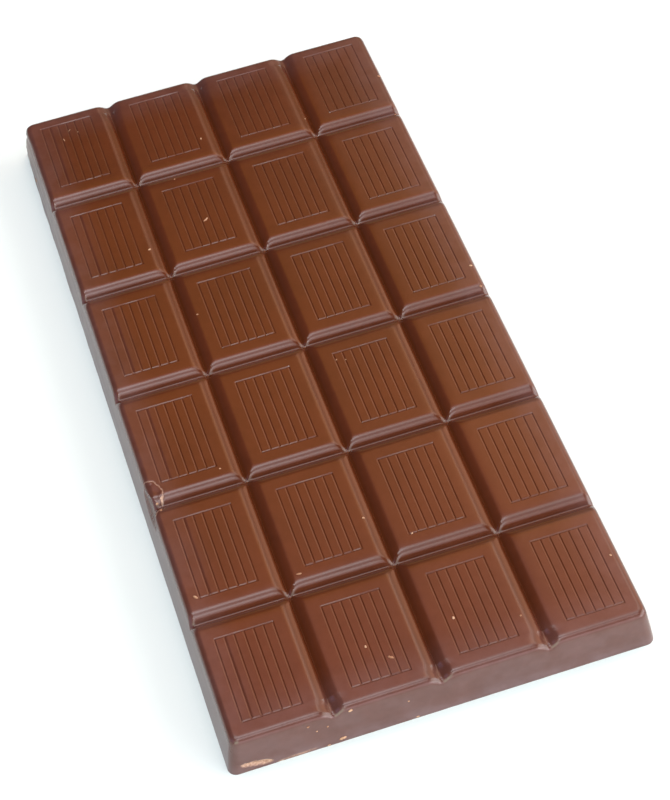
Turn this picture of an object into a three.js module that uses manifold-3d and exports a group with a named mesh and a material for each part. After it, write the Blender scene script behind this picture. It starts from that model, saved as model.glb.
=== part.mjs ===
// A moulded tablet of solid milk chocolate: four columns by six rows of
// segments on one slab, parted by rounded V grooves. Each segment carries an
// engraved frame with five lines inside it.
//
// Millimetres, +Z up. The tablet lies flat: its base is on z = 0, centred on
// the origin, and its length runs along Y.

import * as THREE from 'three';
import { mergeVertices } from 'three/addons/utils/BufferGeometryUtils.js';
import Module from 'manifold-3d';

// ---- Driving dimensions -------------------------------------------------

const COLUMNS = 4;
const ROWS = 6;
const PITCH_X = 17.6; // segment to segment across the tablet
const PITCH_Y = 24.75; // segment to segment along the tablet
const END_TRIM = 0.6; // how much an end segment falls short of a full pitch
const THICKNESS = 7.9;

const WALL_INSET = 1.45; // how far a side wall leans in between base and top
const CORNER_RADIUS = 1.5; // upright corners, seen from above
const EDGE_RADIUS = 0.8; // rounding of the top rim

const GROOVE_HALF_WIDTH = 2.2;
const GROOVE_DEPTH = 1.15;

const FRAME_MARGIN_X = 4.0; // from the segment's border to the frame's line
const FRAME_MARGIN_Y = 4.2;
const FRAME_STRIPS = 6; // strips that the five inner lines part
const LINE_WIDTH = 0.3;
const LINE_DEPTH = 0.12;

// Damage on the left wall: a shell-shaped flake is missing under the rim.
const RIM_SCAR = { y: -24.2, z: 6.2, halfLength: 4.3, halfHeight: 1.6, depth: 0.55 };
// Damage at the front wall's foot, beside the left corner.
const FOOT_SCAR = { x: -30.5, z: 1.2, halfLength: 4.0, halfHeight: 0.75, depth: 0.4 };

// ---- Faceting -----------------------------------------------------------

const CORNER_STEPS = 6;
const EDGE_STEPS = 5;
const GROOVE_STEPS = 7;
const SCAR_SEGMENTS = 14;
const SCAR_RINGS = 8;
const OVERSHOOT = 2.0; // how far a cutter runs past the faces that it cuts

// ---- Sizes that follow --------------------------------------------------

const BASE_WIDTH = COLUMNS * PITCH_X;
const BASE_LENGTH = ROWS * PITCH_Y - 2 * END_TRIM;
const DRAFT_ANGLE = Math.atan2(WALL_INSET, THICKNESS);

const milkChocolate = new THREE.MeshStandardMaterial({
  color: 0x7a4526,
  roughness: 0.35,
  metalness: 0.0,
});

const wasm = await Module();
wasm.setup();

// ---- From three.js geometry to a solid and back --------------------------

function solidFrom(geometry) {
  const bare = geometry.clone();
  bare.deleteAttribute('normal');
  bare.deleteAttribute('uv');
  const merged = mergeVertices(bare, 1e-5);
  return new wasm.Manifold(new wasm.Mesh({
    numProp: 3,
    vertProperties: new Float32Array(merged.attributes.position.array),
    triVerts: new Uint32Array(merged.index.array),
  }));
}

function geometryFrom(solid) {
  const mesh = solid.getMesh();
  const geometry = new THREE.BufferGeometry();
  geometry.setAttribute('position', new THREE.BufferAttribute(mesh.vertProperties, 3));
  geometry.setIndex(new THREE.BufferAttribute(mesh.triVerts, 1));
  geometry.computeVertexNormals();
  return geometry;
}

// ---- The slab -------------------------------------------------------------

// The corner points of a rounded rectangle, anticlockwise, as one closed ring.
function roundedRectangle(halfWidth, halfLength, radius) {
  const ring = [];
  const corners = [[1, 1], [-1, 1], [-1, -1], [1, -1]];
  corners.forEach(([signX, signY], corner) => {
    for (let step = 0; step <= CORNER_STEPS; step += 1) {
      const angle = (corner + step / CORNER_STEPS) * Math.PI / 2;
      ring.push(new THREE.Vector2(
        signX * (halfWidth - radius) + radius * Math.cos(angle),
        signY * (halfLength - radius) + radius * Math.sin(angle),
      ));
    }
  });
  return ring;
}

// The slab's outline at each height: how far it is set in from the base, and
// the radius of its corners. The wall is straight, then the rim rounds over.
function slabSections() {
  const rimZ = THICKNESS - EDGE_RADIUS;
  const rimInset = rimZ * Math.tan(DRAFT_ANGLE) + EDGE_RADIUS / Math.cos(DRAFT_ANGLE);
  const sections = [{ inset: 0, z: 0, radius: CORNER_RADIUS }];
  for (let step = 0; step <= EDGE_STEPS; step += 1) {
    const angle = THREE.MathUtils.lerp(DRAFT_ANGLE, Math.PI / 2, step / EDGE_STEPS);
    const inset = rimInset - EDGE_RADIUS * Math.cos(angle);
    const z = rimZ + EDGE_RADIUS * Math.sin(angle);
    const pastWall = Math.max(0, inset - WALL_INSET);
    sections.push({ inset, z, radius: CORNER_RADIUS - pastWall });
  }
  return sections;
}

// Lofts a closed body through the sections, with a flat cap at each end.
function loft(sections) {
  const rings = sections.map(({ inset, z, radius }) => {
    const outline = roundedRectangle(BASE_WIDTH / 2 - inset, BASE_LENGTH / 2 - inset, radius);
    return outline.map((point) => new THREE.Vector3(point.x, point.y, z));
  });
  const count = rings[0].length;
  const vertices = rings.flat();
  const triangles = [];
  for (let ring = 0; ring + 1 < rings.length; ring += 1) {
    for (let i = 0; i < count; i += 1) {
      const a = ring * count + i;
      const b = ring * count + (i + 1) % count;
      triangles.push(a, b, b + count, a, b + count, a + count);
    }
  }
  const top = (rings.length - 1) * count;
  for (let i = 1; i + 1 < count; i += 1) {
    triangles.push(0, i + 1, i);
    triangles.push(top, top + i, top + i + 1);
  }
  const geometry = new THREE.BufferGeometry().setFromPoints(vertices);
  geometry.setIndex(triangles);
  return geometry;
}

// ---- The grooves ------------------------------------------------------------

// The section of what a groove removes: two arcs that leave the top face
// tangentially and meet in a crease, so both slopes of the groove bulge.
function grooveShape() {
  const squares = GROOVE_HALF_WIDTH ** 2 + GROOVE_DEPTH ** 2;
  const arcRadius = squares / (2 * GROOVE_DEPTH);
  const steepest = Math.asin(GROOVE_HALF_WIDTH / arcRadius);
  const shape = new THREE.Shape();
  shape.moveTo(-GROOVE_HALF_WIDTH, OVERSHOOT);
  for (let step = 0; step <= GROOVE_STEPS; step += 1) {
    const slope = steepest * step / GROOVE_STEPS;
    shape.lineTo(
      -GROOVE_HALF_WIDTH + arcRadius * Math.sin(slope),
      -arcRadius * (1 - Math.cos(slope)),
    );
  }
  for (let step = GROOVE_STEPS - 1; step >= 0; step -= 1) {
    const slope = steepest * step / GROOVE_STEPS;
    shape.lineTo(
      GROOVE_HALF_WIDTH - arcRadius * Math.sin(slope),
      -arcRadius * (1 - Math.cos(slope)),
    );
  }
  shape.lineTo(GROOVE_HALF_WIDTH, OVERSHOOT);
  shape.closePath();
  return shape;
}

// A groove's cutter along Y, centred on the origin, with its mouth on z = 0.
function grooveAlongY(length) {
  const depth = length + 2 * OVERSHOOT;
  const geometry = new THREE.ExtrudeGeometry(grooveShape(), { depth, bevelEnabled: false });
  geometry.translate(0, 0, -depth / 2);
  geometry.rotateX(Math.PI / 2);
  return geometry;
}

function grooveCutters() {
  const cutters = [];
  for (let column = 1; column < COLUMNS; column += 1) {
    const x = (column - COLUMNS / 2) * PITCH_X;
    cutters.push(grooveAlongY(BASE_LENGTH).translate(x, 0, THICKNESS));
  }
  for (let row = 1; row < ROWS; row += 1) {
    const y = (row - ROWS / 2) * PITCH_Y;
    const across = grooveAlongY(BASE_WIDTH).rotateZ(Math.PI / 2);
    cutters.push(across.translate(0, y, THICKNESS));
  }
  return cutters.map(solidFrom);
}

// ---- The engraving ------------------------------------------------------------

// A box between two heights, centred on (x, y).
function block(width, length, bottom, top, x, y) {
  const box = new THREE.BoxGeometry(width, length, top - bottom);
  return solidFrom(box.translate(x, y, (bottom + top) / 2));
}

// The engraved pattern of one segment, centred on (x, y): a frame, and lines
// along Y inside it. It is a block without the strips that stay standing.
function engravingCutter(x, y) {
  const width = PITCH_X - 2 * FRAME_MARGIN_X;
  const length = PITCH_Y - 2 * FRAME_MARGIN_Y;
  const floor = THICKNESS - LINE_DEPTH;
  const top = THICKNESS + OVERSHOOT;
  const pattern = block(width + LINE_WIDTH, length + LINE_WIDTH, floor, top, x, y);
  const stripPitch = width / FRAME_STRIPS;
  let cutter = pattern;
  for (let strip = 0; strip < FRAME_STRIPS; strip += 1) {
    const stripX = x + (strip + 0.5 - FRAME_STRIPS / 2) * stripPitch;
    const standing = block(
      stripPitch - LINE_WIDTH, length - LINE_WIDTH,
      floor - OVERSHOOT, top + OVERSHOOT, stripX, y,
    );
    cutter = cutter.subtract(standing);
  }
  return cutter;
}

function engravingCutters() {
  const cutters = [];
  for (let column = 0; column < COLUMNS; column += 1) {
    for (let row = 0; row < ROWS; row += 1) {
      const x = (column + 0.5 - COLUMNS / 2) * PITCH_X;
      const y = (row + 0.5 - ROWS / 2) * PITCH_Y;
      cutters.push(engravingCutter(x, y));
    }
  }
  return cutters;
}

// ---- The damage -----------------------------------------------------------------

// A shallow shell-shaped hollow, as a flattened ball whose axes are given.
function scarCutter(halfX, halfY, halfZ, x, y, z) {
  const ball = new THREE.SphereGeometry(1, SCAR_SEGMENTS, SCAR_RINGS);
  return solidFrom(ball.scale(halfX, halfY, halfZ).translate(x, y, z));
}

// How far a wall has leant in from the base at the given height.
function wallInset(z) {
  return z * Math.tan(DRAFT_ANGLE);
}

function scarCutters() {
  const rimX = -BASE_WIDTH / 2 + wallInset(RIM_SCAR.z);
  const footY = -BASE_LENGTH / 2 + wallInset(FOOT_SCAR.z);
  return [
    scarCutter(
      RIM_SCAR.depth, RIM_SCAR.halfLength, RIM_SCAR.halfHeight,
      rimX, RIM_SCAR.y, RIM_SCAR.z,
    ),
    scarCutter(
      FOOT_SCAR.halfLength, FOOT_SCAR.depth, FOOT_SCAR.halfHeight,
      FOOT_SCAR.x, footY, FOOT_SCAR.z,
    ),
  ];
}

// ---- Assembly ---------------------------------------------------------------------

function chocolateBar() {
  const slab = solidFrom(loft(slabSections()));
  const cutters = [...grooveCutters(), ...engravingCutters(), ...scarCutters()];
  const solid = cutters.reduce((body, cutter) => body.subtract(cutter), slab);
  const mesh = new THREE.Mesh(geometryFrom(solid), milkChocolate);
  mesh.name = 'chocolate_bar';
  return mesh;
}

const group = new THREE.Group();
group.add(chocolateBar());

export default group;
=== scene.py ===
"""The looks of a moulded milk chocolate tablet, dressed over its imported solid.

Everything is in metres, +Z up, in the solid's own frame: the base lies on z = 0,
centred on the origin, the tablet's length runs along Y, and +Y is its far end.
"""

import logging
import math
from collections.abc import Callable, Iterable, Sequence
from dataclasses import dataclass
from enum import Enum
from typing import Union

import bpy
from mathutils import Euler, Matrix, Quaternion, Vector, noise
from mathutils.bvhtree import BVHTree
from mathutils.geometry import delaunay_2d_cdt, intersect_point_line


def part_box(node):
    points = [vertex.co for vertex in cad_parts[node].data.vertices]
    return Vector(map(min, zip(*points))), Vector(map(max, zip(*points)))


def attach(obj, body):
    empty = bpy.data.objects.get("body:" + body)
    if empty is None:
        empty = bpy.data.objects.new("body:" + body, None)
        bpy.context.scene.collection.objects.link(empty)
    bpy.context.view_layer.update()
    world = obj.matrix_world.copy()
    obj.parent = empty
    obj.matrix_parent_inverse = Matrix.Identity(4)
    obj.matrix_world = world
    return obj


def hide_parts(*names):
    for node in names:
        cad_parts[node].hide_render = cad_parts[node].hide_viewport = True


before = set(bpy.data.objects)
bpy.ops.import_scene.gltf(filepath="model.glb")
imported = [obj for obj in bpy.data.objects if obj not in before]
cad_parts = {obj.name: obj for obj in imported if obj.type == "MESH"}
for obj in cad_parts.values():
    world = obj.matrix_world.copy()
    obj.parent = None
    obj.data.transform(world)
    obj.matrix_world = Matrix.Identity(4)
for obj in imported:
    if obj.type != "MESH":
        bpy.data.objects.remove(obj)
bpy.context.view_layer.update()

LOG = logging.getLogger("tablet")

MM = 0.001
TINY = 1e-9
TABLET_NODE = "chocolate_bar"
BODY = "root"

Colour = tuple[float, float, float]


def add_object(name: str, data: bpy.types.ID) -> bpy.types.Object:
    """Makes an object and links it into the scene.

    Args:
        name: its name.
        data: its mesh, light or camera.

    Returns:
        The new object, at the origin.
    """
    thing = bpy.data.objects.new(name, data)
    bpy.context.scene.collection.objects.link(thing)
    return thing


# ---- Node trees written as arithmetic ------------------------------------------


def operation(name: str, swapped: bool = False) -> "Callable[..., Field]":
    """Makes a field's method that adds one math node.

    Args:
        name: the math node's operation.
        swapped: whether the field comes after the other number.

    Returns:
        The method.
    """
    def method(field: "Field", *others: "Number") -> "Field":
        """The node's result for this field and the other numbers."""
        terms = (*others, field) if swapped else (field, *others)
        return field.wiring.math(name, *terms)
    return method


class Field:
    """A number that flows through a node tree; arithmetic on it adds math nodes."""

    __add__ = operation("ADD")
    __radd__ = operation("ADD", swapped=True)
    __sub__ = operation("SUBTRACT")
    __rsub__ = operation("SUBTRACT", swapped=True)
    __mul__ = operation("MULTIPLY")
    __rmul__ = operation("MULTIPLY", swapped=True)
    __truediv__ = operation("DIVIDE")
    __rtruediv__ = operation("DIVIDE", swapped=True)
    __abs__ = operation("ABSOLUTE")
    root = operation("SQRT")
    sine = operation("SINE")
    cosine = operation("COSINE")
    tangent = operation("TANGENT")
    sign = operation("SIGN")
    floor = operation("FLOOR")
    nearest_whole = operation("ROUND")
    at_least = operation("MAXIMUM")
    at_most = operation("MINIMUM")
    exceeds = operation("GREATER_THAN")

    def __init__(self, wiring: "Wiring", socket: bpy.types.NodeSocket) -> None:
        """Holds an output socket of the tree that the wiring writes."""
        self.wiring = wiring
        self.socket = socket

    def squared(self) -> "Field":
        """This field times itself."""
        return self * self

    def between(self, low: "Number", high: "Number") -> "Field":
        """This field, kept between two numbers."""
        return self.at_least(low).at_most(high)

    def towards(self, other: "Number", share: "Number") -> "Field":
        """This field moved towards another number by a share of the way."""
        return self + (other - self) * share

    def smooth_step(self, low: "Number", high: "Number") -> "Field":
        """Nought below the low number, one above the high one, an S between them."""
        way = ((self - low) / (high - low)).between(0.0, 1.0)
        return way.squared() * (3.0 - 2.0 * way)


Number = Union[Field, float]
Feed = Union[Field, bpy.types.NodeSocket, float, int, str, Sequence[float], bpy.types.Material]
Hue = Union[Colour, bpy.types.NodeSocket]


class Wiring:
    """Writes nodes and links into one node tree."""

    def __init__(self, tree: bpy.types.NodeTree) -> None:
        """Takes the tree that the nodes go into."""
        self.tree = tree

    def node(self, kind: str, feeds: dict[str, Feed] | None = None,
             **settings: object) -> bpy.types.Node:
        """Adds a node.

        Args:
            kind: the node's type name.
            feeds: what goes into its inputs, by the input's name.
            settings: values for the node's own properties.

        Returns:
            The new node.
        """
        node = self.tree.nodes.new(kind)
        for name, value in settings.items():
            setattr(node, name, value)
        for name, value in (feeds or {}).items():
            self.feed(node.inputs[name], value)
        return node

    def feed(self, socket: bpy.types.NodeSocket, value: Feed) -> None:
        """Links a field or an output to an input, or sets the input to a plain value.

        Args:
            socket: the input.
            value: what goes into it.
        """
        if isinstance(value, Field):
            value = value.socket
        if isinstance(value, bpy.types.NodeSocket):
            self.tree.links.new(value, socket)
        else:
            socket.default_value = value

    def math(self, operation: str, *terms: Number) -> Field:
        """Adds one math node.

        Args:
            operation: the math node's operation.
            terms: its inputs, in order.

        Returns:
            The node's result.
        """
        node = self.node("ShaderNodeMath", operation=operation)
        for socket, term in zip(node.inputs, terms):
            self.feed(socket, term)
        return Field(self, node.outputs[0])

    def axes(self, vector: bpy.types.NodeSocket) -> tuple[Field, Field, Field]:
        """Splits a vector.

        Args:
            vector: an output that carries a vector.

        Returns:
            Its three components.
        """
        parts = self.node("ShaderNodeSeparateXYZ", {"Vector": vector})
        return tuple(Field(self, output) for output in parts.outputs)

    def vector(self, x: Number, y: Number, z: Number) -> bpy.types.NodeSocket:
        """Joins three numbers.

        Args:
            x: the first component.
            y: the second component.
            z: the third component.

        Returns:
            The output that carries the vector.
        """
        return self.node("ShaderNodeCombineXYZ", {"X": x, "Y": y, "Z": z}).outputs[0]

    def grain(self, place: bpy.types.NodeSocket, scale: Number, detail: float = 2.0,
              roughness: float = 0.5, seed: Number = 0.0) -> Field:
        """Adds a noise texture.

        Args:
            place: the coordinates that it reads.
            scale: how many of its features fit into a metre.
            detail: how many finer layers it has.
            roughness: how strong the finer layers are.
            seed: the place in its fourth dimension.

        Returns:
            The noise, from about 0 to 1 round 0.5.
        """
        feeds = {"Vector": place, "Scale": scale, "Detail": detail,
                 "Roughness": roughness, "W": seed}
        node = self.node("ShaderNodeTexNoise", feeds, noise_dimensions="4D")
        return Field(self, node.outputs[0])

    def attribute(self, name: str) -> Field:
        """Reads a number that the mesh keeps at its points."""
        return Field(self, self.node("ShaderNodeAttribute", attribute_name=name).outputs["Fac"])

    def mix(self, share: Number, first: Hue, second: Hue) -> bpy.types.NodeSocket:
        """Mixes two colours.

        Args:
            share: how much of the second colour there is.
            first: a colour or a colour's output.
            second: a colour or a colour's output.

        Returns:
            The mixed colour's output.
        """
        node = self.node("ShaderNodeMix", data_type="RGBA")
        self.feed(node.inputs[0], share)
        for index, colour in ((6, first), (7, second)):
            self.feed(node.inputs[index], (*colour, 1.0) if isinstance(colour, tuple) else colour)
        return node.outputs[2]


class GeometryRule:
    """A Geometry Nodes tree with named inputs, run once on a mesh made in code."""

    def __init__(self, name: str) -> None:
        """Makes the empty tree with its geometry input and output."""
        self.tree = bpy.data.node_groups.new(name, "GeometryNodeTree")
        self.wiring = Wiring(self.tree)
        self.values: dict[str, object] = {}
        for way in ("INPUT", "OUTPUT"):
            self.tree.interface.new_socket("Geometry", in_out=way, socket_type="NodeSocketGeometry")
        self.entry = self.tree.nodes.new("NodeGroupInput")
        self.exit = self.tree.nodes.new("NodeGroupOutput")

    def size(self, name: str, value: float) -> Field:
        """Adds a named number to the tree's inputs.

        Args:
            name: the input's name.
            value: what the modifier sets it to.

        Returns:
            The input as a field.
        """
        socket = self.tree.interface.new_socket(name, in_out="INPUT", socket_type="NodeSocketFloat")
        self.values[socket.identifier] = float(value)
        return Field(self.wiring, self.entry.outputs[name])

    def sizes(self, owner: object, *names: str) -> list[Field]:
        """Adds some of an object's sizes to the tree's inputs.

        Args:
            owner: the object that holds the sizes.
            names: what it calls them; the inputs' names are the same with capitals.

        Returns:
            The inputs as fields, in the same order.
        """
        return [self.size(name.replace("_", " ").title(), getattr(owner, name)) for name in names]

    def material(self, name: str, value: bpy.types.Material) -> bpy.types.NodeSocket:
        """Adds a named material to the tree's inputs.

        Args:
            name: the input's name.
            value: the material that the modifier sets it to.

        Returns:
            The input's socket.
        """
        socket = self.tree.interface.new_socket(name, in_out="INPUT", socket_type="NodeSocketMaterial")
        self.values[socket.identifier] = value
        return self.entry.outputs[name]

    def close(self, geometry: bpy.types.NodeSocket, material: bpy.types.NodeSocket) -> None:
        """Ends the tree in Realize Instances and Set Material.

        Args:
            geometry: the shaped geometry.
            material: the material's socket.
        """
        real = self.wiring.node("GeometryNodeRealizeInstances", {"Geometry": geometry})
        dressed = self.wiring.node(
            "GeometryNodeSetMaterial", {"Geometry": real.outputs[0], "Material": material})
        self.wiring.feed(self.exit.inputs[0], dressed.outputs[0])

    def run(self, name: str, blank: bpy.types.Mesh) -> bpy.types.Object:
        """Runs the tree on a mesh and keeps the result as a plain mesh.

        Args:
            name: the new object's name.
            blank: the mesh that the tree shapes.

        Returns:
            The object, at the origin and without modifiers.
        """
        piece = add_object(name, blank)
        modifier = piece.modifiers.new(self.tree.name, "NODES")
        modifier.node_group = self.tree
        for identifier, value in self.values.items():
            modifier[identifier] = value
        depsgraph = bpy.context.evaluated_depsgraph_get()
        shaped = bpy.data.meshes.new_from_object(
            piece.evaluated_get(depsgraph), preserve_all_data_layers=True, depsgraph=depsgraph)
        piece.modifiers.remove(modifier)
        piece.data = shaped
        shaped.name = name
        bpy.data.meshes.remove(blank)
        return piece


# ---- Finishes --------------------------------------------------------------------


class Mark(Enum):
    """The names of the point attributes that the finishes read."""

    WALL = "wall"
    BROKEN = "broken"


@dataclass(frozen=True)
class MilkChocolate:
    """Satin milk chocolate: warm brown, faintly mottled, hazier on the walls and rims, where the pale
    haze is partly fat bloom and partly painted sheen.
    """

    body: Colour = (0.076, 0.0170, 0.0043)
    deep: Colour = (0.064, 0.0143, 0.0036)
    # Pale grey laid over the walls and rims: partly fat bloom, partly painted sheen.
    bloom_and_sheen: Colour = (0.29, 0.24, 0.28)
    broken: Colour = (0.42, 0.27, 0.20)
    broken_deep: Colour = (0.22, 0.115, 0.07)
    gloss_roughness: float = 0.20
    wall_roughness: float = 0.28
    broken_roughness: float = 0.62
    refraction: float = 1.5
    # How strongly the walls and the rim bands take the pale grey, which is partly bloom and partly
    # painted sheen.
    wall_bloom_and_sheen: float = 0.10
    rim_bloom_and_sheen: float = 0.06
    side_rim: tuple[float, float] = (26.0 * MM, 33.5 * MM)
    end_rim: tuple[float, float] = (64.0 * MM, 72.0 * MM)
    # Height band by the base where the walls are painted paler, as painted light from the floor.
    foot: tuple[float, float] = (2.8 * MM, 0.3 * MM)
    cloud_scale: float = 70.0
    patch_scale: float = 240.0
    mottle_scale: float = 700.0
    grit_scale: float = 2600.0
    relief_height: float = 0.006 * MM

    def make(self) -> bpy.types.Material:
        """Builds the material.

        Returns:
            The new material.
        """
        material = bpy.data.materials.new("milk_chocolate")
        material.use_nodes = True
        tree = material.node_tree
        tree.nodes.clear()
        wiring = Wiring(tree)
        place = wiring.node("ShaderNodeTexCoord").outputs["Object"]
        wall = wiring.attribute(Mark.WALL.value)
        broken = wiring.attribute(Mark.BROKEN.value)
        clouds = wiring.grain(place, self.cloud_scale, 3.0, 0.55, 2.0)
        patches = wiring.grain(place, self.patch_scale, 2.0, 0.6, 11.0).smooth_step(0.38, 0.62)
        mottle = wiring.grain(place, self.mottle_scale, 3.0, 0.6, 5.0)
        grit = wiring.grain(place, self.grit_scale, 4.0, 0.7, 8.0)
        shade = (clouds * 0.6 + mottle * 0.4).smooth_step(0.36, 0.64)
        colour = wiring.mix(shade, self.deep, self.body)
        place_x, place_y, place_z = wiring.axes(place)
        foot = place_z.smooth_step(*self.foot)
        rim = abs(place_x).smooth_step(*self.side_rim).at_least(
            abs(place_y).smooth_step(*self.end_rim))
        # Pale grey haze: partly fat bloom, partly painted sheen on walls and rims, and stronger near
        # the foot as painted glow from the floor.
        bloom_and_sheen_share = (wall * self.wall_bloom_and_sheen * (1.0 + 0.9 * foot)).at_least(rim * self.rim_bloom_and_sheen)
        bloom_and_sheen_share = bloom_and_sheen_share * (0.5 + 0.6 * mottle + 0.4 * patches)
        colour = wiring.mix(bloom_and_sheen_share, colour, self.bloom_and_sheen)
        scar = wiring.mix(grit.smooth_step(0.35, 0.62), self.broken_deep, self.broken)
        colour = wiring.mix(broken, colour, scar)
        polish = wiring.math("ADD", self.gloss_roughness, (mottle - 0.5) * 0.06)
        worn = (1.6 * wall).at_most(1.0)
        rough = polish.towards(self.wall_roughness, worn).towards(self.broken_roughness, broken)
        relief = (mottle - 0.5) * 0.6 + (grit - 0.5) * (0.25 + 3.0 * broken)
        bump = wiring.node("ShaderNodeBump", {
            "Height": relief, "Strength": 1.0, "Distance": self.relief_height})
        shader = wiring.node("ShaderNodeBsdfPrincipled", {
            "Base Color": colour, "Roughness": rough, "IOR": self.refraction,
            "Normal": bump.outputs[0]})
        output = wiring.node("ShaderNodeOutputMaterial")
        wiring.feed(output.inputs["Surface"], shader.outputs[0])
        return material


@dataclass(frozen=True)
class CrumbFinish:
    """Pale dry chips of broken milk chocolate."""

    light: Colour = (0.43, 0.26, 0.16)
    dark: Colour = (0.26, 0.12, 0.06)
    roughness: float = 0.6
    grain_scale: float = 900.0

    def make(self) -> bpy.types.Material:
        """Builds the material.

        Returns:
            The new material.
        """
        material = bpy.data.materials.new("crumb")
        material.use_nodes = True
        tree = material.node_tree
        shader = tree.nodes["Principled BSDF"]
        wiring = Wiring(tree)
        place = wiring.node("ShaderNodeTexCoord").outputs["Object"]
        grain = wiring.grain(place, self.grain_scale, 3.0, 0.6, 3.0)
        colour = wiring.mix(grain.smooth_step(0.4, 0.6), self.dark, self.light)
        wiring.feed(shader.inputs["Base Color"], colour)
        shader.inputs["Roughness"].default_value = self.roughness
        return material


@dataclass(frozen=True)
class FloorFinish:
    """Plain matt paper, pale with a faint blue-green cast."""

    colour: Colour = (0.71, 0.80, 0.80)
    roughness: float = 0.9

    def make(self) -> bpy.types.Material:
        """Builds the material.

        Returns:
            The new material.
        """
        material = bpy.data.materials.new("floor")
        material.use_nodes = True
        shader = material.node_tree.nodes["Principled BSDF"]
        shader.inputs["Base Color"].default_value = (*self.colour, 1.0)
        shader.inputs["Roughness"].default_value = self.roughness
        shader.inputs["Specular IOR Level"].default_value = 0.0
        return material


# ---- Damage ------------------------------------------------------------------------


class Side(Enum):
    """The sides of the tablet, each by the direction that leads into it and the one along it."""

    TOP = ((0.0, 0.0, -1.0), (1.0, 0.0, 0.0))
    LEFT = ((1.0, 0.0, 0.0), (0.0, 1.0, 0.0))
    FRONT = ((0.0, 1.0, 0.0), (1.0, 0.0, 0.0))

    @property
    def inward(self) -> Vector:
        """The direction that leads into the tablet."""
        return Vector(self.value[0])

    @property
    def along(self) -> Vector:
        """The level direction along the side."""
        return Vector(self.value[1])

    @property
    def across(self) -> Vector:
        """The other direction along the side: up a wall, or the tablet's length on top."""
        return Vector((0.0, 1.0, 0.0)) if self is Side.TOP else Vector((0.0, 0.0, 1.0))


def eased(value: float) -> float:
    """Nought below 0, one above 1, an S between them."""
    way = min(max(value, 0.0), 1.0)
    return way * way * (3.0 - 2.0 * way)


@dataclass(frozen=True)
class Hollow:
    """A shallow hollow, deepest in its middle, scraped out of a wall.

    A bareness below nought marks a smooth hollow that has lost its bloom and painted sheen.
    """

    side: Side
    middle: tuple[float, float]
    half_size: tuple[float, float]
    depth: float
    bareness: float = 0.0
    raggedness: float = 0.0
    lean: float = 0.0
    reach: float = 3.0 * MM

    def effect(self, place: Vector, face: float) -> tuple[Vector, float]:
        """What the hollow does to a point of the tablet.

        Args:
            place: the point.
            face: where the hollow's side lies along its inward direction.

        Returns:
            How far the point moves, and how bare the chocolate lies there.
        """
        if place.dot(self.side.inward) - face > self.reach:
            return Vector(), 0.0
        offset = Vector((place.dot(self.side.along), place.dot(self.side.across)))
        offset -= Vector(self.middle)
        offset.rotate(Matrix.Rotation(math.radians(-self.lean), 2))
        along, across = offset.x / self.half_size[0], offset.y / self.half_size[1]
        if max(abs(along), abs(across)) > 1.5:
            return Vector(), 0.0
        ragged = 1.0 + self.raggedness * noise.noise(place * 900.0)
        rise = 1.0 - (along * along + across * across) * ragged
        if rise <= 0.0:
            return Vector(), 0.0
        return self.side.inward * self.depth * rise ** 0.7, self.bareness * eased(rise * 5.0)


@dataclass(frozen=True)
class LooseChip:
    """A flake of the left rim that has cracked off and sunk a little.

    The crack runs over the top from rim to rim; its corners go down along Y.
    """

    crack: tuple[tuple[float, float], ...] = (
        (-34.9 * MM, -19.3 * MM), (-33.9 * MM, -19.35 * MM), (-32.35 * MM, -19.9 * MM),
        (-31.25 * MM, -22.2 * MM), (-31.9 * MM, -24.3 * MM), (-33.0 * MM, -25.8 * MM),
        (-34.3 * MM, -27.3 * MM))
    lowest: float = 6.4 * MM
    sink: float = 0.14 * MM
    sink_width: float = 1.3 * MM
    lumpiness: float = 0.035 * MM
    crack_half_width: float = 0.12 * MM
    crack_depth: float = 0.07 * MM
    wobble: float = 0.12 * MM
    wobble_scale: float = 1300.0
    lump_scale: float = 900.0
    innermost: float = -30.0 * MM

    def effect(self, place: Vector, face: float) -> tuple[Vector, float]:
        """What the chip does to a point of the tablet.

        Args:
            place: the point.
            face: unused, as the chip is placed from above.

        Returns:
            How far the point moves, and how bare the chocolate lies there.
        """
        top, foot = self.crack[0][1] + MM, self.crack[-1][1] - MM
        if place.z < self.lowest or place.x > self.innermost or not foot < place.y < top:
            return Vector(), 0.0
        wobble = self.wobble * noise.noise(place * self.wobble_scale)
        spot = Vector((place.x + wobble, place.y))
        distance, inside = self._measure(spot)
        bare = max(0.0, 1.0 - distance / self.crack_half_width)
        sunk = self.crack_depth * bare
        if inside:
            depth = eased(distance / self.sink_width)
            lumps = self.lumpiness * noise.noise(place * self.lump_scale)
            sunk += self.sink * depth + lumps * depth
        fade = eased((place.z - self.lowest) / MM)
        return Vector((0.0, 0.0, -sunk * fade)), eased(bare * 0.95) * fade

    def _measure(self, spot: Vector) -> tuple[float, bool]:
        """How far a spot on the top is from the crack, and whether it lies on the chip.

        Args:
            spot: the spot.

        Returns:
            The distance, and whether the spot is on the chip's side.
        """
        distance, inside = math.inf, False
        for first, second in zip(self.crack, self.crack[1:]):
            start, stop = Vector(first), Vector(second)
            nearest, share = intersect_point_line(spot, start, stop)
            nearest = start.lerp(stop, min(max(share, 0.0), 1.0))
            distance = min(distance, (spot - nearest).length)
            if stop.y < spot.y <= start.y:
                way = (start.y - spot.y) / (start.y - stop.y)
                inside = spot.x < start.x + (stop.x - start.x) * way
        return distance, inside


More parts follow.
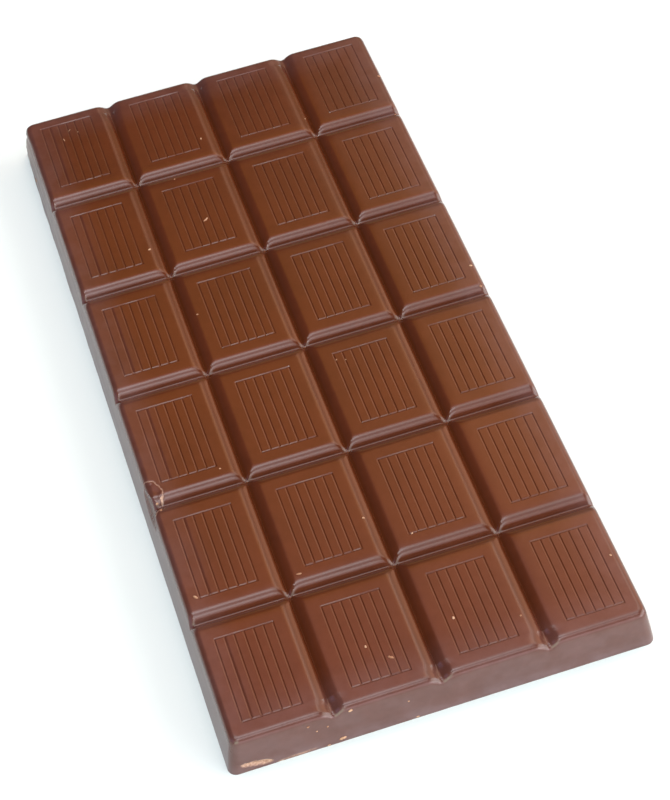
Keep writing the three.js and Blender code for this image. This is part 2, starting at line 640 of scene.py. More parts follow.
@dataclass(frozen=True)
class Smears:
    """Lengthwise smears on a stretch of the left wall."""

    start: float = 50.0 * MM
    stop: float = 60.0 * MM
    height: float = 0.16 * MM

    def effect(self, place: Vector, face: float) -> tuple[Vector, float]:
        """What the smears do to a point of the tablet.

        Args:
            place: the point.
            face: where the left side lies.

        Returns:
            How far the point moves, and no bareness.
        """
        share = eased((place.y - self.start) / (self.stop - self.start))
        if share <= 0.0 or place.x - face > 2.0 * MM:
            return Vector(), 0.0
        grain = noise.fractal(Vector((3.0, place.y * 160.0, place.z * 900.0)), 1.0, 2.0, 3)
        return Vector((self.height * share * max(grain, -0.6), 0.0, 0.0)), 0.0


Wear = Union[Hollow, LooseChip, Smears]


# ---- The tablet --------------------------------------------------------------------


@dataclass(frozen=True)
class Span:
    """A stretch of one axis that gets closely spaced stations."""

    start: float
    stop: float
    step: float

    def stations(self) -> list[float]:
        """The stations from start to stop."""
        count = max(1, round((self.stop - self.start) / self.step))
        return [self.start + (self.stop - self.start) * i / count for i in range(count + 1)]


@dataclass(frozen=True)
class Strip:
    """One axis of the tablet: its half size, its pitch and what is engraved across it.

    The drift is how far the outermost engraved lines lie towards the far end of the axis.
    """

    half: float
    pitch: float
    count: int
    lines: tuple[float, ...]
    plain: tuple[float, ...]
    fine: tuple[Span, ...]
    drift: float = 0.0

    def centre(self, index: int) -> float:
        """The middle of a segment."""
        return (index + 0.5 - self.count / 2) * self.pitch

    def line_places(self) -> list[float]:
        """Where the engraved lines of all segments lie, in order."""
        places = [self.centre(index) + line for index in range(self.count) for line in self.lines]
        places[0] += self.drift
        places[-1] += self.drift
        return places


@dataclass
class ChocolateTablet:
    """The tablet: slab, break grooves, engraving and damage, as one mesh."""

    columns: int = 4
    rows: int = 6
    end_trim: float = 0.6 * MM
    wall_inset: float = 1.45 * MM
    corner_radius: float = 1.5 * MM
    edge_radius: float = 1.2 * MM
    groove_half_width: float = 2.2 * MM
    groove_shares: tuple[float, ...] = (
        0.0, 0.03, 0.07, 0.12, 0.2, 0.31, 0.44, 0.58, 0.72, 0.86, 1.0)
    column_depth: float = 1.15 * MM
    row_depth: float = 1.35 * MM
    column_crease: float = 0.08 * MM
    row_crease: float = 0.3 * MM
    mouth_flare: float = 0.35 * MM
    mouth_depth: float = 1.85 * MM
    mouth_crease: float = 0.85 * MM
    mouth_length: float = 1.1 * MM
    mitre_rounding: float = 1.2 * MM
    frame_margin_x: float = 4.0 * MM
    frame_margin_y: float = 4.2 * MM
    frame_strips: int = 6
    end_drift: float = 0.33 * MM
    drift_zone: tuple[float, float] = (66.0 * MM, 69.0 * MM)
    line_half_width: float = 0.2 * MM
    line_depth: float = 0.095 * MM
    line_floor_share: float = 0.25
    end_push: float = 0.75 * MM
    end_push_zone: tuple[float, float] = (-0.55 * MM, 0.2 * MM)
    side_push: float = 0.16 * MM
    side_push_zone: tuple[float, float] = (-1.4 * MM, 0.0)
    wall_ripple: float = 0.08 * MM
    side_wear: float = 4.2
    side_wear_zone: tuple[float, float] = (-20.0 * MM, 45.0 * MM)
    foot_zone: float = 2.6 * MM
    corner_steps: int = 4
    fillet_steps: int = 9
    wall_steps: int = 9
    foot_steps: int = 12
    least_step: float = 0.045 * MM
    base_grid: float = 2.5 * MM
    sharp_degrees: float = 50.0
    fine_across: tuple[Span, ...] = (
        Span(-33.75 * MM, -31.1 * MM, 0.13 * MM), Span(-34.6 * MM, -26.0 * MM, 0.35 * MM))
    fine_along: tuple[Span, ...] = (
        Span(-27.4 * MM, -19.0 * MM, 0.13 * MM), Span(-28.8 * MM, -27.4 * MM, 0.3 * MM))
    seed: float = 4.0
    wear: tuple[Wear, ...] = (
        LooseChip(),
        Smears(),
        Hollow(Side.TOP, (-32.1 * MM, -24.0 * MM), (0.35 * MM, 0.9 * MM), 0.1 * MM, 1.0, 0.5, -30.0),
        Hollow(Side.LEFT, (-24.2 * MM, 6.2 * MM), (4.3 * MM, 1.6 * MM), 0.6 * MM, -0.9),
        Hollow(Side.LEFT, (68.0 * MM, 0.2 * MM), (9.0 * MM, 1.6 * MM), 0.25 * MM, 0.0, 0.3),
        Hollow(Side.FRONT, (-30.6 * MM, 1.3 * MM), (2.9 * MM, 0.6 * MM), 0.35 * MM, 1.0, 0.5, -12.0),
        Hollow(Side.FRONT, (-24.6 * MM, 0.25 * MM), (3.4 * MM, 0.2 * MM), 0.1 * MM, 0.6, 0.9, 3.0),
    )

    def __post_init__(self) -> None:
        """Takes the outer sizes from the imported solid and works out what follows."""
        low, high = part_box(TABLET_NODE)
        self.half_width = (high.x - low.x) / 2
        self.half_length = (high.y - low.y) / 2
        self.thickness = high.z - low.z
        self.pitch_x = 2 * self.half_width / self.columns
        self.pitch_y = 2 * (self.half_length + self.end_trim) / self.rows
        self.draft = math.atan2(self.wall_inset, self.thickness)
        self.rim_inset = (
            (self.thickness - self.edge_radius) * math.tan(self.draft)
            + self.edge_radius / math.cos(self.draft))
        self.top_corner = self.corner_radius - (self.rim_inset - self.wall_inset)
        self.fillet_length = self.edge_radius * (math.pi / 2 - self.draft)
        drop = self.thickness - self.edge_radius * (1 - math.sin(self.draft))
        self.wall_length = drop / math.cos(self.draft)

    def build(self, chocolate: bpy.types.Material) -> bpy.types.Object:
        """Makes the tablet.

        Args:
            chocolate: its material.

        Returns:
            The finished piece, on its body and in place of the solid.
        """
        across, along = self._strips()
        columns = self._stations(across)
        rows = self._stations(along)
        blank = self._blank(columns, rows)
        piece = self._shape_rule(chocolate).run("tablet", blank)
        self._wear_down(piece.data)
        self._close_base(piece.data, len(columns), len(rows))
        self._crisp_lines(piece.data, columns, rows)
        self._dress(piece)
        return piece

    def _strips(self) -> tuple[Strip, Strip]:
        """The two axes of the tablet: across it and along it."""
        half_x = self.pitch_x / 2 - self.frame_margin_x
        half_y = self.pitch_y / 2 - self.frame_margin_y
        step = 2 * half_x / self.frame_strips
        lines = tuple(i * step - half_x for i in range(self.frame_strips + 1))
        margin_x = (half_x + self.pitch_x / 2 - self.groove_half_width) / 2
        margin_y = (half_y + self.pitch_y / 2 - self.groove_half_width) / 2
        plain = tuple(half_y * i / 3 for i in range(-2, 3))
        across = Strip(
            self.half_width, self.pitch_x, self.columns, lines, (-margin_x, margin_x),
            self.fine_across)
        along = Strip(
            self.half_length, self.pitch_y, self.rows, (-half_y, half_y),
            (-margin_y, *plain, margin_y), self.fine_along, self.end_drift)
        return across, along

    def _stations(self, strip: Strip) -> list[float]:
        """The places along one axis where the blank has a row of points.

        Args:
            strip: the axis.

        Returns:
            Its stations in order. Those past the core fold down over rim and wall.
        """
        core = strip.half - self.rim_inset - self.top_corner
        groove = [self.groove_half_width * share for share in self.groove_shares]
        line = [self.line_half_width * share for share in (self.line_floor_share, 1.0)]
        inner: set[float] = set()
        for index in range(strip.count):
            inner.update(strip.centre(index) + place for place in strip.plain)
        for place in strip.line_places():
            inner.update(place + side * offset for offset in line for side in (-1, 1))
        for index in range(1, strip.count):
            border = (index - strip.count / 2) * strip.pitch
            inner.update(border + side * offset for offset in groove for side in (-1, 1))
        for span in strip.fine:
            inner.update(span.stations())
        spaced = self._thinned(inner, core)
        edge = self._edge_stations()
        return [-core - past for past in reversed(edge)] + spaced + [core + past for past in edge]

    def _thinned(self, places: Iterable[float], core: float) -> list[float]:
        """Sorts the places inside the core and drops those that almost coincide.

        Args:
            places: the wanted places.
            core: the half length of the core.

        Returns:
            The places that stay.
        """
        kept: list[float] = []
        for place in sorted(places):
            clear = not kept or place - kept[-1] > self.least_step
            if clear and abs(place) < core - self.least_step:
                kept.append(place)
        return kept

    def _edge_stations(self) -> list[float]:
        """How far past the core the points of rim and wall lie, from nought on."""
        stations = [0.0]
        for length, count in (
                (self.top_corner, self.corner_steps), (self.fillet_length, self.fillet_steps),
                (self.wall_length - self.foot_zone, self.wall_steps),
                (self.foot_zone, self.foot_steps)):
            start = stations[-1]
            stations += [start + length * i / count for i in range(1, count + 1)]
        return stations

    @staticmethod
    def _blank(columns: Sequence[float], rows: Sequence[float]) -> bpy.types.Mesh:
        """A flat sheet with a point where each column and row of stations cross.

        Args:
            columns: the stations across the tablet.
            rows: the stations along it.

        Returns:
            The sheet as a mesh.
        """
        points = [(x, y, 0.0) for x in columns for y in rows]
        count = len(rows)
        faces = [
            (i * count + j, (i + 1) * count + j, (i + 1) * count + j + 1, i * count + j + 1)
            for i in range(len(columns) - 1) for j in range(count - 1)]
        mesh = bpy.data.meshes.new("blank")
        mesh.from_pydata(points, [], faces)
        return mesh

    def _shape_rule(self, chocolate: bpy.types.Material) -> GeometryRule:
        """The tree that folds the blank into the slab and presses the relief into it.

        Args:
            chocolate: the material that the tree sets.

        Returns:
            The rule, ready to run.
        """
        rule = GeometryRule("tablet_shape")
        wiring = rule.wiring
        half_width, half_length, thickness, draft = rule.sizes(
            self, "half_width", "half_length", "thickness", "draft")
        edge_radius, corner_radius, rim_inset, top_corner, wall_length = rule.sizes(
            self, "edge_radius", "corner_radius", "rim_inset", "top_corner", "wall_length")
        ripple, side_wear, side_push, end_push, seed = rule.sizes(
            self, "wall_ripple", "side_wear", "side_push", "end_push", "seed")
        finish = rule.material("Chocolate", chocolate)

        sheet = wiring.node("GeometryNodeInputPosition").outputs[0]
        across, along, _ = wiring.axes(sheet)
        rim_x, rim_y = half_width - rim_inset, half_length - rim_inset
        to_rim = abs(along) - (rim_y - top_corner)
        past_x = (abs(across) - (rim_x - top_corner)).at_least(0.0)
        past_y = to_rim.at_least(0.0)
        core_x = across - across.sign() * past_x
        core_y = along - along.sign() * past_y
        groove = self._groove_rule(rule, core_x, core_y, to_rim)
        engraving = self._engraving_rule(rule, core_x, core_y)

        reach = past_x.at_least(past_y)
        slant = past_x.at_most(past_y) / reach.at_least(TINY)
        over = (reach - top_corner).at_least(0.0)
        fillet_length = edge_radius * (math.pi / 2 - draft)
        bend = over.at_most(fillet_length) / edge_radius
        shorter = 1.0 - groove / (draft.cosine() * wall_length)
        down = (over - fillet_length).at_least(0.0) * shorter
        spread = groove * draft.tangent() * (reach / top_corner).at_most(1.0)
        outward = reach.at_most(top_corner) + edge_radius * bend.sine() + down * draft.sine() + spread
        drop = groove + engraving + edge_radius * (1.0 - bend.cosine()) + down * draft.cosine()

        plan_radius = outward.at_most(corner_radius)
        straight = outward - plan_radius
        way = slant * (straight + plan_radius * (math.pi / 4))
        turn = (way - straight).at_least(0.0) / plan_radius.at_least(TINY)
        major = straight + plan_radius * turn.cosine()
        minor = way.at_most(straight) + plan_radius * turn.sine()
        steep_y = past_y.exceeds(past_x)
        x = core_x + across.sign() * major.towards(minor, steep_y)
        y = core_y + along.sign() * minor.towards(major, steep_y)
        height = thickness - drop
        x = self._pushed_out(x, side_push * height / thickness, rim_x, self.side_push_zone)
        y = self._pushed_out(y, end_push * height / thickness, rim_y, self.end_push_zone)
        folded = wiring.node("GeometryNodeSetPosition", {
            "Geometry": rule.entry.outputs["Geometry"],
            "Position": wiring.vector(x, y, height)})

        wall = over.smooth_step(0.3 * fillet_length, 1.3 * fillet_length)
        marked = wiring.node("GeometryNodeStoreNamedAttribute", {
            "Geometry": folded.outputs[0], "Name": Mark.WALL.value, "Value": wall},
            data_type="FLOAT", domain="POINT")
        place = wiring.node("GeometryNodeInputPosition").outputs[0]
        place_x, place_y, place_z = wiring.axes(place)
        streaky = wiring.vector(place_x, place_y * 0.45, place_z * 1.6)
        lumps = wiring.grain(streaky, 300.0, 3.0, 0.55, seed) - 0.5
        normal = wiring.node("GeometryNodeInputNormal").outputs[0]
        normal_x, normal_y, _ = wiring.axes(normal)
        wear = side_wear * abs(normal_x) * place_y.smooth_step(*self.side_wear_zone)
        push = (lumps - 0.2) * ripple * (1.0 + wear) * wall
        rippled = wiring.node("GeometryNodeSetPosition", {
            "Geometry": marked.outputs[0],
            "Offset": wiring.vector(normal_x * push, normal_y * push, 0.0)})
        smooth = wiring.node("GeometryNodeSetShadeSmooth", {"Geometry": rippled.outputs[0]})
        rule.close(smooth.outputs[0], finish)
        return rule

    @staticmethod
    def _pushed_out(place: Field, push: Field, rim: Field, zone: tuple[float, float]) -> Field:
        """Pushes the walls at both ends of an axis outwards.

        Args:
            place: the place on the axis.
            push: how far the walls go out at this height.
            rim: where the rim's rounding starts on the axis.
            zone: between which distances past that start the push sets in.

        Returns:
            The pushed place.
        """
        share = abs(place).smooth_step(rim + zone[0], rim + zone[1])
        return place + place.sign() * push * share

    def _groove_rule(self, rule: GeometryRule, x: Field, y: Field, to_rim: Field) -> Field:
        """The depth of the break grooves under the top face.

        Each slope of a groove is an arc tangent to the top face. Crossing grooves
        meet in mitres, whose ridges are slightly rounded. The grooves between the
        columns open into a rounded spout where they run out over the ends.

        Args:
            rule: the tree's rule.
            x: the place across the tablet.
            y: the place along it.
            to_rim: how far the place lies past the core's ends, less than nought inside it.

        Returns:
            The depth.
        """
        half_width, column_depth, row_depth, rounding = rule.sizes(
            self, "groove_half_width", "column_depth", "row_depth", "mitre_rounding")
        mouth_flare, mouth_depth, mouth_crease, mouth_length = rule.sizes(
            self, "mouth_flare", "mouth_depth", "mouth_crease", "mouth_length")
        mouth = to_rim.smooth_step(-1.0 * mouth_length, 0.2 * mouth_length)
        half_width = half_width + mouth_flare * mouth
        inside = []
        axes = (
            (x, "Column", self.pitch_x, self.columns, self.column_crease),
            (y, "Row", self.pitch_y, self.rows, self.row_crease))
        for place, label, pitch_size, count_value, crease_size in axes:
            pitch = rule.size(f"{label} Pitch", pitch_size)
            count = rule.size(f"{label}s", count_value)
            crease = rule.size(f"{label} Crease", crease_size)
            if place is x:
                crease = crease.towards(mouth_crease, mouth)
            border = (place / pitch + count / 2).nearest_whole().between(1.0, count - 1)
            distance = abs(place - (border - count / 2) * pitch)
            lift = (crease - distance).at_least(0.0).squared() / (2.0 * crease)
            inside.append(half_width - distance - lift)
        row_share = (inside[1] - inside[0]).smooth_step(-0.5 * MM, 0.5 * MM)
        depth = column_depth.towards(mouth_depth, mouth).towards(row_depth, row_share)
        merged = rule.wiring.math("SMOOTH_MAX", inside[0], inside[1], rounding)
        merged = merged.between(0.0, half_width)
        radius = (half_width.squared() + depth.squared()) / (2.0 * depth)
        return radius - (radius.squared() - merged.squared()).root()

    def _engraving_rule(self, rule: GeometryRule, x: Field, y: Field) -> Field:
        """The depth of the engraved frames and of the lines inside them.

        Args:
            rule: the tree's rule.
            x: the place across the tablet.
            y: the place along it.

        Returns:
            The depth.
        """
        half_x = rule.size("Frame Half Width", self.pitch_x / 2 - self.frame_margin_x)
        half_y = rule.size("Frame Half Length", self.pitch_y / 2 - self.frame_margin_y)
        strips, half_line, floor_share, depth, drift = rule.sizes(
            self, "frame_strips", "line_half_width", "line_floor_share", "line_depth", "end_drift")
        local = []
        y = y - drift * abs(y).smooth_step(*self.drift_zone)
        axes = ((x, self.pitch_x, self.columns), (y, self.pitch_y, self.rows))
        for place, pitch, count in axes:
            index = (place / pitch + count / 2).floor().between(0.0, count - 1.0)
            local.append(place - (index + (0.5 - count / 2)) * pitch)
        step = 2.0 * half_x / strips
        nearest = (local[0] / step + strips / 2).nearest_whole().between(0.0, strips) - strips / 2
        beyond_x = (abs(local[0]) - half_x).at_least(0.0)
        beyond_y = (abs(local[1]) - half_y).at_least(0.0)
        to_upright = ((local[0] - nearest * step).squared() + beyond_y.squared()).root()
        to_level = ((abs(local[1]) - half_y).squared() + beyond_x.squared()).root()
        away = to_upright.at_most(to_level) / half_line
        profile = ((1.0 - away) / (1.0 - floor_share)).between(0.0, 1.0)
        place = rule.wiring.node("GeometryNodeInputPosition").outputs[0]
        wear = rule.wiring.grain(place, 260.0, 2.0, 0.6, 7.0).smooth_step(0.3, 0.7)
        return depth * (0.65 + 0.5 * wear) * profile

    def _wear_down(self, mesh: bpy.types.Mesh) -> None:
        """Presses the damage into the shell and notes where chocolate lies bare.

        Args:
            mesh: the folded shell.
        """
        faces = {
            Side.TOP: -self.thickness, Side.LEFT: -self.half_width, Side.FRONT: -self.half_length}
        bare = [0.0] * len(mesh.vertices)
        # The wall mark carries the pale grey of bloom and painted sheen; a bareness below nought takes
        # some of it away.
        bloom_and_sheen = mesh.attributes[Mark.WALL.value].data
        for index, vertex in enumerate(mesh.vertices):
            place = vertex.co.copy()
            for wear in self.wear:
                face = faces[getattr(wear, "side", Side.LEFT)]
                shift, bareness = wear.effect(place, face)
                vertex.co += shift
                bare[index] = max(bare[index], bareness)
                bloom_and_sheen[index].value *= 1.0 + min(bareness, 0.0)
        attribute = mesh.attributes.new(Mark.BROKEN.value, "FLOAT", "POINT")
        attribute.data.foreach_set("value", bare)

    def _close_base(self, mesh: bpy.types.Mesh, columns: int, rows: int) -> None:
        """Fills the shell's underside with a flat base of even triangles.

        Six very short edges of the base's border, by the far left corner, stay open.

        Args:
            mesh: the folded shell, whose border lies on z = 0.
            columns: how many stations it has across.
            rows: how many stations it has along.
        """
        border = [i * rows for i in range(columns)]
        border += [(columns - 1) * rows + j for j in range(1, rows)]
        border += [i * rows + rows - 1 for i in range(columns - 2, -1, -1)]
        border += [j for j in range(rows - 2, 0, -1)]
        points = [vertex.co.copy() for vertex in mesh.vertices]
        polygons = [tuple(polygon.vertices) for polygon in mesh.polygons]
        marks = {mark: [item.value for item in mesh.attributes[mark.value].data] for mark in Mark}
        outline = [points[index].xy for index in border]
        grid = self.base_grid
        most_x, most_y = (int(half / grid) - 1 for half in (self.half_width, self.half_length))
        inner = [
            Vector((i * grid, j * grid))
            for i in range(-most_x, most_x + 1) for j in range(-most_y, most_y + 1)]
        ring = [(i, (i + 1) % len(outline)) for i in range(len(outline))]
        flat, _, faces, origins, _, _ = delaunay_2d_cdt(outline + inner, ring, [], 1, TINY)
        index_of = []
        for place, source in zip(flat, origins):
            known = [number for number in source if number < len(border)]
            if known:
                index_of.append(border[known[0]])
            else:
                index_of.append(len(points))
                points.append(Vector((place.x, place.y, 0.0)))
                marks[Mark.WALL].append(1.0)
                marks[Mark.BROKEN].append(0.0)
        polygons += [tuple(index_of[corner] for corner in reversed(face)) for face in faces]
        materials = list(mesh.materials)
        mesh.clear_geometry()
        mesh.from_pydata(points, [], polygons)
        if not mesh.materials:
            for material in materials:
                mesh.materials.append(material)
        for mark, values in marks.items():
            attribute = mesh.attributes.get(mark.value)
            if attribute is None:
                attribute = mesh.attributes.new(mark.value, "FLOAT", "POINT")
            attribute.data.foreach_set("value", values)
        mesh.update()
        mesh.polygons.foreach_set("use_smooth", [True] * len(mesh.polygons))
        mesh.set_sharp_from_angle(angle=math.radians(self.sharp_degrees))

    def _crisp_lines(self, mesh: bpy.types.Mesh, columns: Sequence[float],
                     rows: Sequence[float]) -> None:
        """Marks the borders of the engraved lines as sharp edges.

        Args:
            mesh: the tablet.
            columns: the stations across it.
            rows: the stations along it.
        """
        across, along = self._strips()
        edges = {tuple(sorted(edge.vertices)): edge for edge in mesh.edges}
        count = len(rows)
        in_x = [self._in_frame(place, across) for place in columns]
        in_y = [self._in_frame(place, along) for place in rows]
        for i in self._border_stations(columns, across):
            for j in range(count - 1):
                if in_y[j] and in_y[j + 1]:
                    edges[(i * count + j, i * count + j + 1)].use_edge_sharp = True
        for j in self._border_stations(rows, along):
            for i in range(len(columns) - 1):
                if in_x[i] and in_x[i + 1]:
                    edges[(i * count + j, (i + 1) * count + j)].use_edge_sharp = True

    def _in_frame(self, place: float, strip: Strip) -> bool:
        """Whether a place along a strip's axis lies on or between its outer lines."""
        index = min(max(math.floor(place / strip.pitch + strip.count / 2), 0), strip.count - 1)
        lines = strip.line_places()[index * len(strip.lines):(index + 1) * len(strip.lines)]
        margin = self.line_half_width * 1.01
        return lines[0] - margin < place < lines[-1] + margin

    def _border_stations(self, places: Sequence[float], strip: Strip) -> list[int]:
        """Which stations of an axis lie on a border of an engraved line.

        Args:
            places: the stations.
            strip: the axis.

        Returns:
            Their indices.
        """
        borders = [
            line + side * share * self.line_half_width for line in strip.line_places()
            for share in (self.line_floor_share, 1.0) for side in (-1, 1)]
        near = 0.02 * MM
        return [
            index for index, place in enumerate(places)
            if any(abs(place - border) < near for border in borders)]

    @staticmethod
    def _dress(piece: bpy.types.Object) -> None:
        """Puts the piece on its body in place of the solid."""
        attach(piece, BODY)
        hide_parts(TABLET_NODE)


# ---- Crumbs ------------------------------------------------------------------------------


@dataclass(frozen=True)
class Chip:
    """One chip: its side, its place on it, its length and width, and its turn in degrees."""

    side: Side
    along: float
    across: float
    length: float
    width: float
    turn: float

    @classmethod
    def on(cls, side: Side, rows: Sequence[tuple[float, ...]]) -> list["Chip"]:
        """Makes the chips on one side.

        Args:
            side: the side.
            rows: a row for each chip: its place, length and width in millimetres, and its turn.

        Returns:
            The chips, in the same order.
        """
        return [cls(side, *(size * MM for size in row[:4]), row[4]) for row in rows]


@dataclass
class Crumbs:
    """The loose chips of chocolate that cling to the top and the walls."""

    chips: tuple[Chip, ...] = (
        *Chip.on(Side.TOP, (
            (-8.0, 35.3, 1.1, 0.35, 35.0), (-3.17, 56.18, 0.5, 0.25, 80.0),
            (-19.58, 31.87, 0.55, 0.35, 110.0), (16.84, 54.28, 0.35, 0.25, 10.0),
            (-10.65, 47.64, 0.35, 0.25, 50.0), (-15.62, 13.37, 0.45, 0.25, 70.0),
            (-21.12, -21.35, 0.35, 0.3, 20.0), (4.2, -5.7, 0.4, 0.25, 15.0),
            (5.7, -6.2, 0.3, 0.25, 95.0), (-1.9, -39.6, 0.4, 0.3, 60.0),
            (4.5, -45.3, 0.4, 0.3, 130.0), (-31.86, -44.95, 0.9, 0.45, 135.0),
            (-15.0, -46.45, 0.95, 0.32, 40.0), (-9.25, -63.37, 0.5, 0.35, 90.0),
            (-6.2, -66.6, 1.0, 0.38, 140.0), (5.27, -63.15, 0.5, 0.4, 90.0),
            (15.27, -66.39, 0.4, 0.3, 40.0), (32.56, -60.64, 0.4, 0.3, 120.0),
            (-32.85, -24.1, 0.5, 0.4, 20.0), (-32.6, -26.0, 0.6, 0.3, 40.0),
            (33.5, 59.8, 0.7, 0.4, 85.0), (33.2, 49.4, 0.6, 0.4, 60.0),
            (33.1, 6.5, 0.6, 0.4, 95.0), (33.1, 1.35, 0.5, 0.35, 70.0),
            (-27.7, 65.9, 0.6, 0.14, 100.0), (-26.3, 68.0, 0.8, 0.12, 105.0),
            (-24.75, 67.1, 0.35, 0.16, 60.0))),
        *Chip.on(Side.FRONT, (
            (-16.8, 0.9, 1.2, 0.55, 10.0), (-19.1, 0.25, 0.5, 0.25, 0.0),
            (-14.9, 7.0, 0.7, 0.45, 20.0), (-21.8, 6.2, 0.45, 0.35, 10.0),
            (-18.8, 4.85, 0.35, 0.3, 60.0), (-20.6, 4.57, 0.3, 0.25, 60.0),
            (-5.7, 4.8, 0.35, 0.25, 0.0), (-4.6, 0.35, 0.6, 0.25, 0.0))),
        *Chip.on(Side.LEFT, ((64.0, 1.6, 1.3, 0.5, 5.0),)),
    )
    flatness: float = 0.55
    jaggedness: float = 0.55
    seed: float = 2.0

    def build(self, tablet: bpy.types.Object, crumb: bpy.types.Material) -> bpy.types.Object:
        """Makes the chips on the tablet's surface.

        Args:
            tablet: the piece that they cling to.
            crumb: their material.

        Returns:
            The finished piece, on the tablet's body.
        """
        blank = self._blank(tablet.data)
        piece = self._chip_rule(crumb).run("crumbs", blank)
        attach(piece, BODY)
        return piece

    def _blank(self, surface: bpy.types.Mesh) -> bpy.types.Mesh:
        """A point for each chip, with its size and its turn.

        Args:
            surface: the tablet's mesh.

        Returns:
            The points as a mesh.
        """
        tree = BVHTree.FromPolygons(
            [vertex.co for vertex in surface.vertices],
            [tuple(polygon.vertices) for polygon in surface.polygons])
        places, sizes, turns = [], [], []
        for chip in self.chips:
            side = chip.side
            start = side.along * chip.along + side.across * chip.across - side.inward * 0.1
            place, normal, _, _ = tree.ray_cast(start, side.inward)
            height = chip.width * self.flatness
            places.append(place + normal * height * 0.1)
            sizes += [chip.length / 2, chip.width / 2, height / 2]
            turn = Euler((0.0, 0.0, math.radians(chip.turn))).to_quaternion()
            turns += list((normal.to_track_quat("Z", "Y") @ turn).to_euler())
        mesh = bpy.data.meshes.new("chips")
        mesh.from_pydata(places, [], [])
        for name, values in (("size", sizes), ("turn", turns)):
            attribute = mesh.attributes.new(name, "FLOAT_VECTOR", "POINT")
            attribute.data.foreach_set("vector", values)
        return mesh

    def _chip_rule(self, crumb: bpy.types.Material) -> GeometryRule:
        """The tree that puts a jagged chip on each point.

        Args:
            crumb: the material that the tree sets.

        Returns:
            The rule, ready to run.
        """
        rule = GeometryRule("crumb_shape")
        wiring = rule.wiring
        jaggedness, seed = rule.sizes(self, "jaggedness", "seed")
        finish = rule.material("Crumb", crumb)
        ball = wiring.node("GeometryNodeMeshIcoSphere", {"Radius": 1.0, "Subdivisions": 3})
        size, turn = (
            wiring.node("GeometryNodeInputNamedAttribute", {"Name": name}, data_type="FLOAT_VECTOR")
            for name in ("size", "turn"))
        placed = wiring.node("GeometryNodeInstanceOnPoints", {
            "Points": rule.entry.outputs["Geometry"], "Instance": ball.outputs["Mesh"],
            "Rotation": turn.outputs[0], "Scale": size.outputs[0]})
        real = wiring.node("GeometryNodeRealizeInstances", {"Geometry": placed.outputs[0]})
        place = wiring.node("GeometryNodeInputPosition").outputs[0]
        normal_x, normal_y, normal_z = wiring.axes(wiring.node("GeometryNodeInputNormal").outputs[0])
        push = (wiring.grain(place, 3200.0, 1.0, 0.5, seed) - 0.5) * jaggedness * (0.4 * MM)
        jagged = wiring.node("GeometryNodeSetPosition", {
            "Geometry": real.outputs[0],
            "Offset": wiring.vector(normal_x * push, normal_y * push, normal_z * push)})
        flat = wiring.node("GeometryNodeSetShadeSmooth", {
            "Geometry": jagged.outputs[0], "Shade Smooth": False})
        rule.close(flat.outputs[0], finish)
        return rule


# ---- Floor, lights and camera ----------------------------------------------------------


@dataclass(frozen=True)
class SoftBox:
    """A rectangular light that looks at the tablet.

    The azimuth runs from +Y towards +X. Width and height are the angles that the
    light fills, seen from the tablet. A square box has its edges along X and Y,
    any other box has its lower edge level.
    """

    name: str
    azimuth: float
    elevation: float
    width: float
    height: float
    radiance: Colour
    square: bool = False
    distance: float = 1.6

    def build(self) -> bpy.types.Object:
        """Makes the light.

        Returns:
            The light's object.
        """
        data = bpy.data.lights.new(self.name, "AREA")
        data.shape = "RECTANGLE"
        data.size = 2 * self.distance * math.tan(math.radians(self.width / 2))
        data.size_y = 2 * self.distance * math.tan(math.radians(self.height / 2))
        brightest = max(self.radiance)
        data.energy = brightest * math.pi * data.size * data.size_y
        data.color = [part / brightest for part in self.radiance]
        azimuth, elevation = math.radians(self.azimuth), math.radians(self.elevation)
        towards = Vector((
            math.cos(elevation) * math.sin(azimuth), math.cos(elevation) * math.cos(azimuth),
            math.sin(elevation)))
        light = add_object(self.name, data)
        light.location = towards * self.distance
        aim = Euler((math.pi / 2 - elevation, 0.0, math.pi - azimuth)).to_quaternion()
        roll = azimuth if self.square else 0.0
        light.rotation_euler = (aim @ Quaternion((0.0, 0.0, 1.0), roll)).to_euler()
        return light


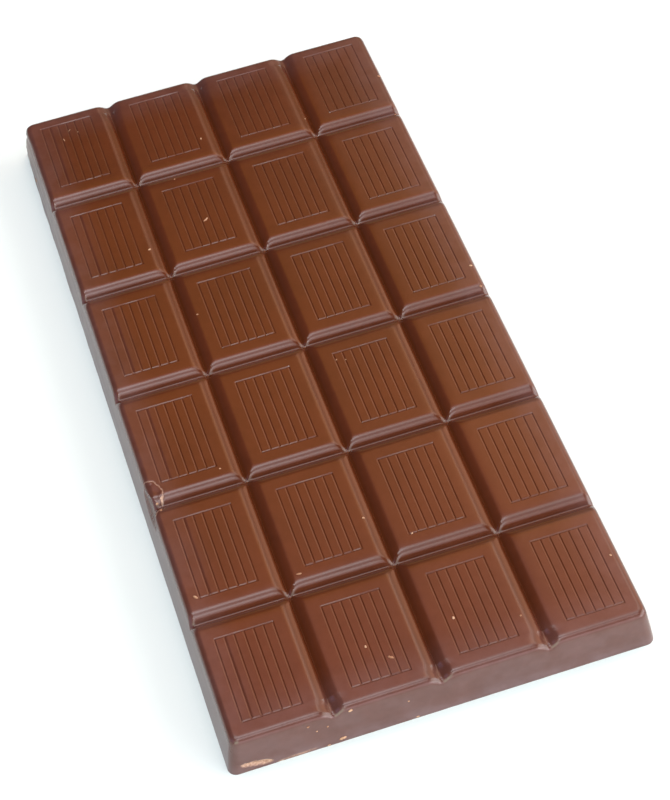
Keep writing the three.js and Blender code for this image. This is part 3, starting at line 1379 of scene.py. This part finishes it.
@dataclass
class Studio:
    """A pale floor, tinted soft boxes and a dim bluish surround.

    The boxes' strengths were solved for the view from the camera, then rounded and changed.
    changed by hand. From low angles the top face mirrors the brightest of them.
    """

    floor_size: float = 8.0
    floor_level: float = -0.01 * MM
    surround: Colour = (0.0, 0.05, 0.09)
    boxes: tuple[SoftBox, ...] = (
        SoftBox("overhead_far_left", -17.5, 76.9, 22.0, 15.0, (5.2, 5.1, 5.3), True),
        SoftBox("overhead_far_right", 48.4, 71.5, 14.0, 15.0, (3.0, 2.9, 2.8), True),
        SoftBox("overhead_far_edge", 9.1, 66.2, 34.0, 7.0, (2.7, 1.7, 1.6), True),
        SoftBox("overhead_middle", 150.3, 86.0, 36.0, 17.0, (1.5, 1.4, 1.5), True),
        SoftBox("overhead_near_left", -169.1, 69.7, 22.0, 14.0, (4.4, 4.4, 4.6), True),
        SoftBox("overhead_near_right", 145.6, 66.2, 14.0, 14.0, (2.6, 2.4, 2.3), True),
        SoftBox("overhead_near_edge", 180.0, 57.5, 40.0, 11.0, (2.2, 1.8, 1.9), True),
        SoftBox("overhead_far_end", -58.7, 66.9, 5.0, 5.0, (28.0, 27.0, 27.0), True),
        SoftBox("overhead_near_end", -135.0, 62.8, 5.0, 5.0, (28.0, 27.0, 27.0), True),
        SoftBox("far_upper", 6.6, 58.8, 34.0, 8.0, (1.4, 0.42, 0.25), True),
        SoftBox("far_glow", 12.0, 50.0, 30.0, 14.0, (0.99, 0.40, 0.05)),
        SoftBox("far_glow_right", 29.0, 47.0, 13.0, 14.0, (1.6, 0.85, 0.45)),
        SoftBox("far_right_upper", 50.0, 52.0, 20.0, 15.0, (3.2, 2.4, 2.0)),
        SoftBox("far_right_middle", 30.0, 37.5, 24.0, 15.0, (1.3, 0.85, 0.55)),
        SoftBox("right_middle", 60.0, 37.5, 24.0, 15.0, (1.76, 1.18, 0.81)),
        SoftBox("far_right_low", 60.0, 15.0, 30.0, 30.0, (2.3, 1.25, 0.76)),
        SoftBox("far_low", 22.0, 15.0, 42.0, 30.0, (0.42, 0.32, 0.13)),
        SoftBox("window_right", 115.0, 15.0, 80.0, 30.0, (5.0, 5.0, 5.0)),
        SoftBox("window_right_upper", 105.0, 37.5, 48.0, 15.0, (4.0, 3.77, 3.29)),
        SoftBox("near_low", 166.0, 12.0, 58.0, 24.0, (2.9, 2.2, 2.4)),
        SoftBox("near_left", 208.0, 46.0, 24.0, 32.0, (2.6, 2.6, 2.4)),
        SoftBox("near_left_low", 212.0, 15.0, 34.0, 30.0, (4.2, 4.86, 3.75)),
        SoftBox("left_low", 262.0, 20.0, 50.0, 40.0, (0.5, 0.5, 0.9)),
    )

    def build(self) -> None:
        """Makes the floor, the lights and the world."""
        self._floor()
        for box in self.boxes:
            box.build()
        world = bpy.data.worlds.new("surround")
        world.use_nodes = True
        world.node_tree.nodes["Background"].inputs["Color"].default_value = (*self.surround, 1.0)
        bpy.context.scene.world = world
        bpy.context.scene.view_settings.view_transform = "Standard"

    def _floor(self) -> None:
        """Makes the floor just under the tablet's base."""
        half = self.floor_size / 2
        corners = [
            (x, y, self.floor_level)
            for x, y in ((-half, -half), (half, -half), (half, half), (-half, half))]
        mesh = bpy.data.meshes.new("floor")
        mesh.from_pydata(corners, [], [(0, 1, 2, 3)])
        mesh.materials.append(FloorFinish().make())
        add_object("floor", mesh)


@dataclass
class Viewpoint:
    """The camera: where it stands, what it looks at and how it leans."""

    place: tuple[float, float, float] = (-49.383 * MM, -253.779 * MM, 301.793 * MM)
    turn_degrees: tuple[float, float, float] = (39.57444, 4.63809, -17.52089)
    lens: float = 121.106
    sensor: float = 36.0

    def build(self) -> bpy.types.Object:
        """Makes the camera and gives it to the scene.

        Returns:
            The camera's object.
        """
        data = bpy.data.cameras.new("viewpoint")
        data.sensor_fit = "HORIZONTAL"
        data.sensor_width = self.sensor
        data.lens = self.lens
        data.clip_start = 0.01
        camera = add_object("viewpoint", data)
        camera.location = self.place
        camera.rotation_euler = Euler([math.radians(angle) for angle in self.turn_degrees])
        bpy.context.scene.camera = camera
        return camera


# ---- The whole --------------------------------------------------------------------------


def main() -> None:
    """Builds the camera, the studio, the tablet and its crumbs."""
    logging.basicConfig(level=logging.INFO, format="%(name)s: %(message)s")
    Viewpoint().build()
    Studio().build()
    tablet = ChocolateTablet().build(MilkChocolate().make())
    crumbs = Crumbs().build(tablet, CrumbFinish().make())
    for piece in (tablet, crumbs):
        piece.data.calc_loop_triangles()
        LOG.info("%s: %d triangles", piece.name, len(piece.data.loop_triangles))


if __name__ == "__main__":
    main()
